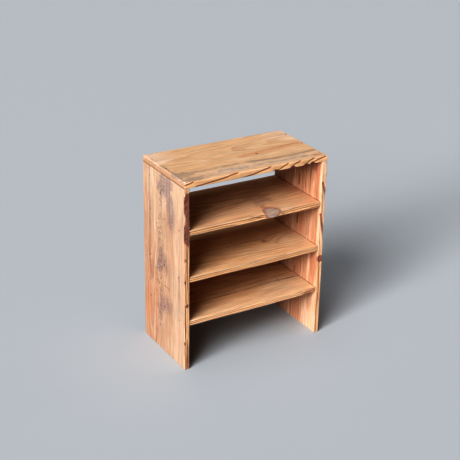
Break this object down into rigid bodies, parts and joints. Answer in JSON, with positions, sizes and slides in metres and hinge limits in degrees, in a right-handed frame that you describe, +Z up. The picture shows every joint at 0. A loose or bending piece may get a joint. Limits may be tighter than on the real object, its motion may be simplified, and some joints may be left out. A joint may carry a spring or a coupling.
{
  "type": "open shelf unit",
  "caption": "Small freestanding open-backed wooden shelf unit: two side boards, a top laid over them and three shelves screwed between them.",
  "frame": {"origin": "middle of the footprint, on the floor", "axes": "+Z up, +X to the right seen from the front, +Y from the front towards the back"},
  "size_m": [0.46, 0.247, 0.57],
  "materials": {
    "side_wood": "bare planed softwood, matt, weathered in patches",
    "top_wood": "bare sawn softwood, matt, greyed along the front",
    "shelf_wood": "bare planed softwood, matt",
    "screw_steel": "zinc-plated, dulled"
  },
  "bodies": {
    "root": {"left_side_board": "side_wood", "right_side_board": "side_wood", "top_board": "top_wood", "upper_shelf": "shelf_wood", "middle_shelf": "shelf_wood", "lower_shelf": "shelf_wood", "top_board_left_screw_front": "screw_steel", "upper_shelf_left_screw_front": "screw_steel", "middle_shelf_left_screw_front": "screw_steel", "lower_shelf_left_screw_front": "screw_steel", "top_board_left_screw_middle": "screw_steel", "upper_shelf_left_screw_middle": "screw_steel", "middle_shelf_left_screw_middle": "screw_steel", "lower_shelf_left_screw_middle": "screw_steel", "top_board_left_screw_back": "screw_steel", "upper_shelf_left_screw_back": "screw_steel", "middle_shelf_left_screw_back": "screw_steel", "lower_shelf_left_screw_back": "screw_steel", "top_board_right_screw_front": "screw_steel", "upper_shelf_right_screw_front": "screw_steel", "middle_shelf_right_screw_front": "screw_steel", "lower_shelf_right_screw_front": "screw_steel", "top_board_right_screw_middle": "screw_steel", "upper_shelf_right_screw_middle": "screw_steel", "middle_shelf_right_screw_middle": "screw_steel", "lower_shelf_right_screw_middle": "screw_steel", "top_board_right_screw_back": "screw_steel", "upper_shelf_right_screw_back": "screw_steel", "middle_shelf_right_screw_back": "screw_steel", "lower_shelf_right_screw_back": "screw_steel"}
  },
  "joints": []
}
